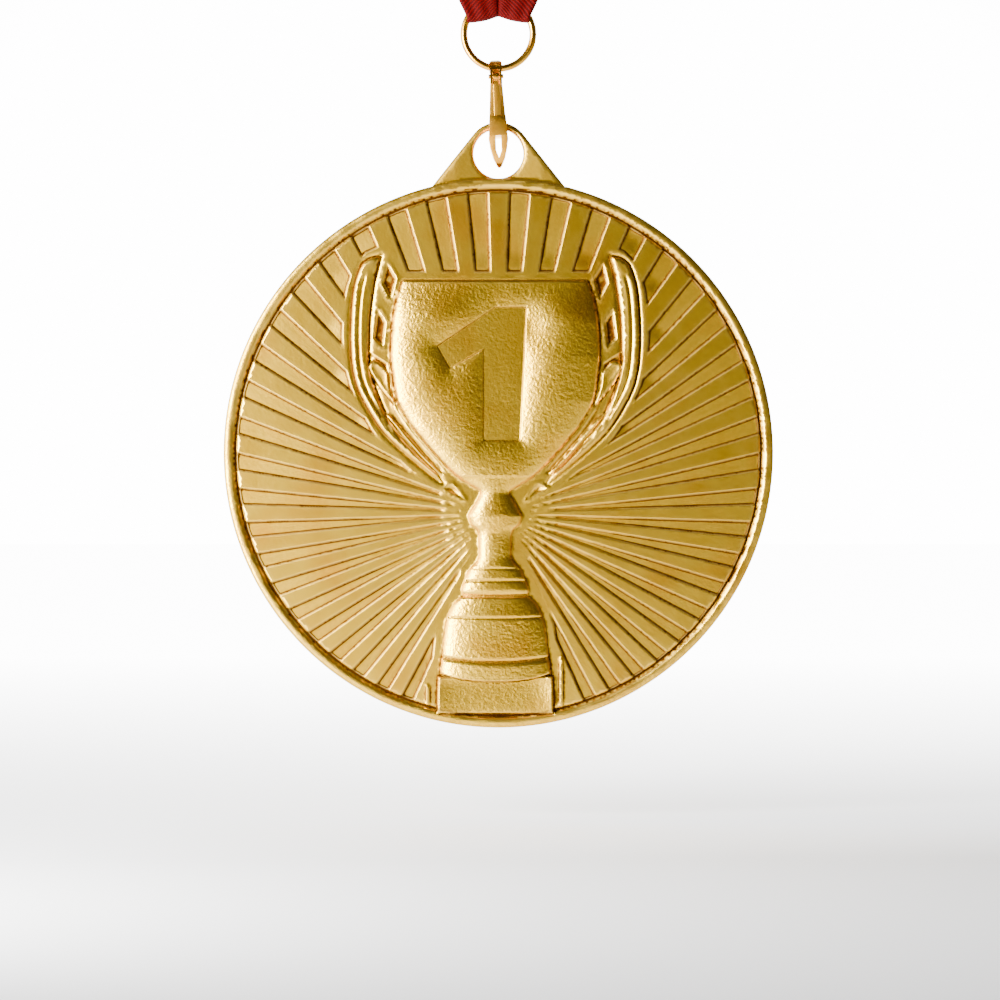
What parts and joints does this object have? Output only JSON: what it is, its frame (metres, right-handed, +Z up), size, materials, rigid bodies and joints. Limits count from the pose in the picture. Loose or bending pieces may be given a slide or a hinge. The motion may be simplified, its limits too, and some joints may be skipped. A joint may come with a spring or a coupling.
{
  "type": "prize medal on a neck ribbon",
  "caption": "Round cast medal with a cup and sunburst in relief, hung by a lug, snap clip and wire ring from a sewn neck ribbon whose spare length is folded and banded.",
  "frame": {"origin": "the point of the peg or hook that the ribbon hangs on, at the underside of the band round the folded ribbon", "axes": "+Z up, -Y the way the medal's face looks, +X to the right of someone who looks at the face"},
  "size_m": [0.074, 0.0075, 0.1554],
  "materials": {
    "antique_gold": "cast zinc alloy, gold plated, satin with darkened hollows",
    "bright_gold_wire": "bright gold-plated wire",
    "bright_gold_sheet": "bright gold-plated pressed sheet",
    "red_ribbon": "ribbed woven polyester ribbon",
    "red_thread": "sewing thread",
    "tie_band": "plain white paper band"
  },
  "bodies": {
    "ribbon": {"ribbon_left_leg": "red_ribbon", "ribbon_right_leg": "red_ribbon", "ribbon_folded_length": "red_ribbon", "ribbon_tie": "tie_band", "mitre_stitches": "red_thread"},
    "ring": {"ring": "bright_gold_wire", "ribbon_ring_fold": "red_ribbon", "bar_tack_stitches": "red_thread"},
    "clip": {"clip_body": "bright_gold_sheet", "clip_rivet": "bright_gold_sheet"},
    "gate": {"clip_gate": "bright_gold_sheet"},
    "medal": {"medal_disc": "antique_gold"}
  },
  "joints": [
    {"name": "ribbon_bend", "type": "hinge", "parent": "ribbon", "child": "ring", "pos_m": [0, 0, -0.04385], "axis": [1, 0, 0], "range_deg": [-40, 40]},
    {"name": "clip_swing", "type": "hinge", "parent": "ring", "child": "clip", "pos_m": [0, 0, -0.05551], "axis": [1, 0, 0], "range_deg": [-60, 60]},
    {"name": "medal_swing", "type": "hinge", "parent": "clip", "child": "medal", "pos_m": [0, 0, -0.06455], "axis": [0, 1, 0], "range_deg": [-25, 25]},
    {"name": "gate_open", "type": "hinge", "parent": "clip", "child": "gate", "pos_m": [0, -0.00175, -0.0567], "axis": [1, 0, 0], "range_deg": [0, 25], "stiffness_Nm_per_rad": 0.002}
  ]
}
